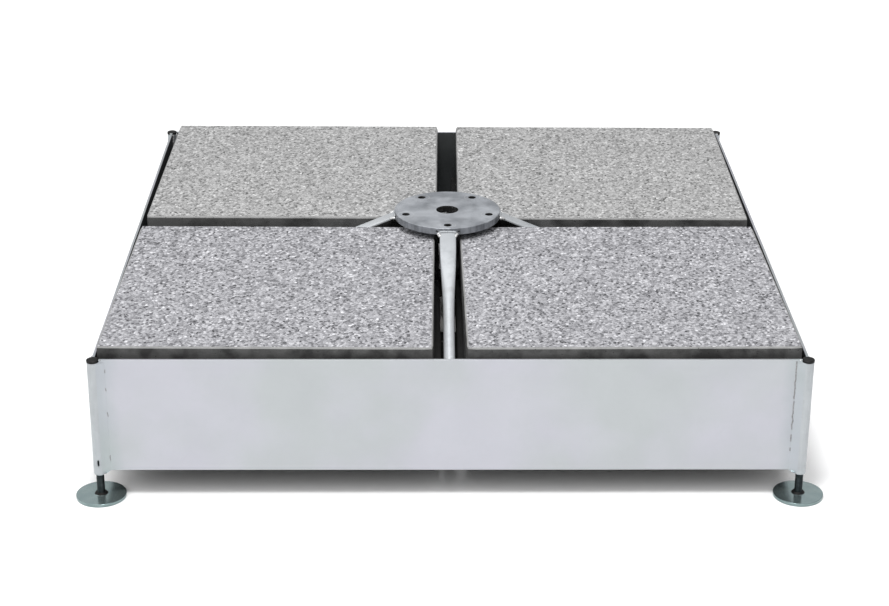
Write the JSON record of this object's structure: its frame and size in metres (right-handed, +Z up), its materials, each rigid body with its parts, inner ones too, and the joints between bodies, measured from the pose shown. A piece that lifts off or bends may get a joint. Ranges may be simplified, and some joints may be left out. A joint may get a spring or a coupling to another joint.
{
  "type": "parasol base",
  "caption": "Square galvanised steel parasol base: sheet walls hold stacked paving slabs, a round flange on sloping arms takes the mast, and levelling feet stand at the corners.",
  "frame": {"origin": "middle of the footprint, on the ground under the foot plates", "axes": "+Z up; -Y is the front, where the flange has a bolt hole in line with the front arm; +X is the right side seen from the front"},
  "size_m": [1.135, 1.135, 0.265],
  "materials": {
    "galvanised_sheet": "satin",
    "galvanised_tube": "satin",
    "galvanised_plate": "satin",
    "spindle_zinc": "satin",
    "foot_zinc": "satin",
    "black_plastic": "matte",
    "washed_concrete": "matte"
  },
  "bodies": {
    "frame": {"front_wall": "galvanised_sheet", "right_wall": "galvanised_sheet", "rear_wall": "galvanised_sheet", "left_wall": "galvanised_sheet", "front_left_tube": "galvanised_tube", "front_left_bush": "galvanised_tube", "front_right_tube": "galvanised_tube", "front_right_bush": "galvanised_tube", "rear_right_tube": "galvanised_tube", "rear_right_bush": "galvanised_tube", "rear_left_tube": "galvanised_tube", "rear_left_bush": "galvanised_tube", "mast_flange": "galvanised_plate", "front_arm": "galvanised_tube", "right_arm": "galvanised_tube", "rear_arm": "galvanised_tube", "left_arm": "galvanised_tube", "front_left_slab_bottom": "washed_concrete", "front_left_slab_middle": "washed_concrete", "front_left_slab_top": "washed_concrete", "front_right_slab_bottom": "washed_concrete", "front_right_slab_middle": "washed_concrete", "front_right_slab_top": "washed_concrete", "rear_right_slab_bottom": "washed_concrete", "rear_right_slab_middle": "washed_concrete", "rear_right_slab_top": "washed_concrete", "rear_left_slab_bottom": "washed_concrete", "rear_left_slab_middle": "washed_concrete", "rear_left_slab_top": "washed_concrete", "front_outer_bearer": "galvanised_tube", "front_inner_bearer": "galvanised_tube", "rear_inner_bearer": "galvanised_tube", "rear_outer_bearer": "galvanised_tube"},
    "front_left_foot": {"front_left_foot_plate": "foot_zinc"},
    "front_left_spindle": {"front_left_spindle": "spindle_zinc"},
    "front_left_cap": {"front_left_cap": "black_plastic"},
    "front_right_foot": {"front_right_foot_plate": "foot_zinc"},
    "front_right_spindle": {"front_right_spindle": "spindle_zinc"},
    "front_right_cap": {"front_right_cap": "black_plastic"},
    "rear_right_foot": {"rear_right_foot_plate": "foot_zinc"},
    "rear_right_spindle": {"rear_right_spindle": "spindle_zinc"},
    "rear_right_cap": {"rear_right_cap": "black_plastic"},
    "rear_left_foot": {"rear_left_foot_plate": "foot_zinc"},
    "rear_left_spindle": {"rear_left_spindle": "spindle_zinc"},
    "rear_left_cap": {"rear_left_cap": "black_plastic"}
  },
  "joints": [
    {"name": "front_left_height", "type": "slide", "parent": "frame", "child": "front_left_foot", "axis": [0, 0, -1], "range_m": [-0.028, 0.045]},
    {"name": "front_left_screw", "type": "hinge", "parent": "front_left_foot", "child": "front_left_spindle", "pos_m": [-0.5295, -0.5295, 0.05], "axis": [0, 0, -1], "range_deg": [-5800, 9300]},
    {"name": "front_left_cap_pull", "type": "slide", "parent": "frame", "child": "front_left_cap", "axis": [0, 0, 1], "range_m": [0, 0.03]},
    {"name": "front_right_height", "type": "slide", "parent": "frame", "child": "front_right_foot", "axis": [0, 0, -1], "range_m": [-0.028, 0.045]},
    {"name": "front_right_screw", "type": "hinge", "parent": "front_right_foot", "child": "front_right_spindle", "pos_m": [0.5295, -0.5295, 0.05], "axis": [0, 0, -1], "range_deg": [-5800, 9300]},
    {"name": "front_right_cap_pull", "type": "slide", "parent": "frame", "child": "front_right_cap", "axis": [0, 0, 1], "range_m": [0, 0.03]},
    {"name": "rear_right_height", "type": "slide", "parent": "frame", "child": "rear_right_foot", "axis": [0, 0, -1], "range_m": [-0.028, 0.045]},
    {"name": "rear_right_screw", "type": "hinge", "parent": "rear_right_foot", "child": "rear_right_spindle", "pos_m": [0.5295, 0.5295, 0.05], "axis": [0, 0, -1], "range_deg": [-5800, 9300]},
    {"name": "rear_right_cap_pull", "type": "slide", "parent": "frame", "child": "rear_right_cap", "axis": [0, 0, 1], "range_m": [0, 0.03]},
    {"name": "rear_left_height", "type": "slide", "parent": "frame", "child": "rear_left_foot", "axis": [0, 0, -1], "range_m": [-0.028, 0.045]},
    {"name": "rear_left_screw", "type": "hinge", "parent": "rear_left_foot", "child": "rear_left_spindle", "pos_m": [-0.5295, 0.5295, 0.05], "axis": [0, 0, -1], "range_deg": [-5800, 9300]},
    {"name": "rear_left_cap_pull", "type": "slide", "parent": "frame", "child": "rear_left_cap", "axis": [0, 0, 1], "range_m": [0, 0.03]}
  ],
  "couplings": [
    {"joint": "front_left_screw", "follows": "front_left_height", "rad_per_m": 3590.4},
    {"joint": "front_right_screw", "follows": "front_right_height", "rad_per_m": 3590.4},
    {"joint": "rear_right_screw", "follows": "rear_right_height", "rad_per_m": 3590.4},
    {"joint": "rear_left_screw", "follows": "rear_left_height", "rad_per_m": 3590.4}
  ]
}
